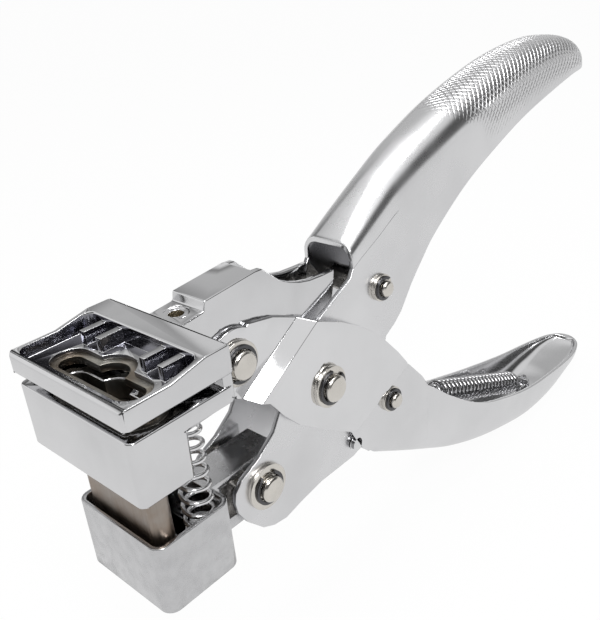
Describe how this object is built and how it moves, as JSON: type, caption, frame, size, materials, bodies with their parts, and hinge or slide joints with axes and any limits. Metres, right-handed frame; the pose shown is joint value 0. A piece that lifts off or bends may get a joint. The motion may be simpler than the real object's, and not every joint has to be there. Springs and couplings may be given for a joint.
{
  "type": "hand slot punch",
  "caption": "Plier-type hand punch for slotted hang holes in card: cast head with a die, sliding punch carrier on return springs, fan plates and two long steel handles.",
  "frame": {"origin": "middle of the flat underside of the carrier cup, in the symmetry plane", "axes": "+X from the head towards the handles, +Y across the head, +Z from the carrier's underside to the head's top, along the punch"},
  "size_m": [0.26, 0.046, 0.1558],
  "materials": {
    "plated_casting": "satin plated casting",
    "plated_sheet": "bright plated sheet",
    "plated_handles": "bright plated sheet, knurled at the grip",
    "plated_cup": "mottled satin plating",
    "tool_steel": "ground, slightly brown",
    "nickel_pins": "warm nickel plate",
    "dark_steel": "dark",
    "spring_steel": "bright wire"
  },
  "bodies": {
    "frame": {"head_casting": "plated_casting", "die_plate": "tool_steel", "cheek_plate_left": "plated_sheet", "cheek_plate_right": "plated_sheet", "lower_handle": "plated_handles", "pivot_pin": "nickel_pins", "arm_pin": "nickel_pins", "lower_pin": "nickel_pins", "pivot_washers": "nickel_pins", "arm_washers": "nickel_pins", "lower_washers": "nickel_pins", "pivot_clips": "dark_steel", "arm_clips": "dark_steel", "lower_clips": "dark_steel", "lower_sleeve": "nickel_pins", "return_spring_left": "spring_steel", "return_spring_right": "spring_steel", "handle_spring": "spring_steel"},
    "lever": {"upper_handle": "plated_handles", "upper_pin": "nickel_pins", "upper_washers": "nickel_pins", "upper_clips": "dark_steel", "upper_sleeve": "nickel_pins", "drive_pin": "nickel_pins", "drive_washers": "nickel_pins", "drive_clips": "dark_steel", "drive_roller": "nickel_pins", "spring_pin": "nickel_pins"},
    "carrier": {"punch_carrier": "plated_cup", "punch": "tool_steel", "punch_screws": "dark_steel"}
  },
  "joints": [
    {"name": "lever_pivot", "type": "hinge", "parent": "frame", "child": "lever", "pos_m": [0.0555, 0, 0.03], "axis": [0, 1, 0], "range_deg": [0, 30], "stiffness_Nm_per_rad": 1.5, "springref_deg": -20.05, "deforming": ["handle_spring"]},
    {"name": "carrier_slide", "type": "slide", "parent": "frame", "child": "carrier", "axis": [0, 0, 1], "range_m": [0, 0.0155], "deforming": ["return_spring_left", "return_spring_right"]}
  ],
  "couplings": [
    {"joint": "carrier_slide", "follows": "lever_pivot", "m_per_rad": 0.029596}
  ]
}
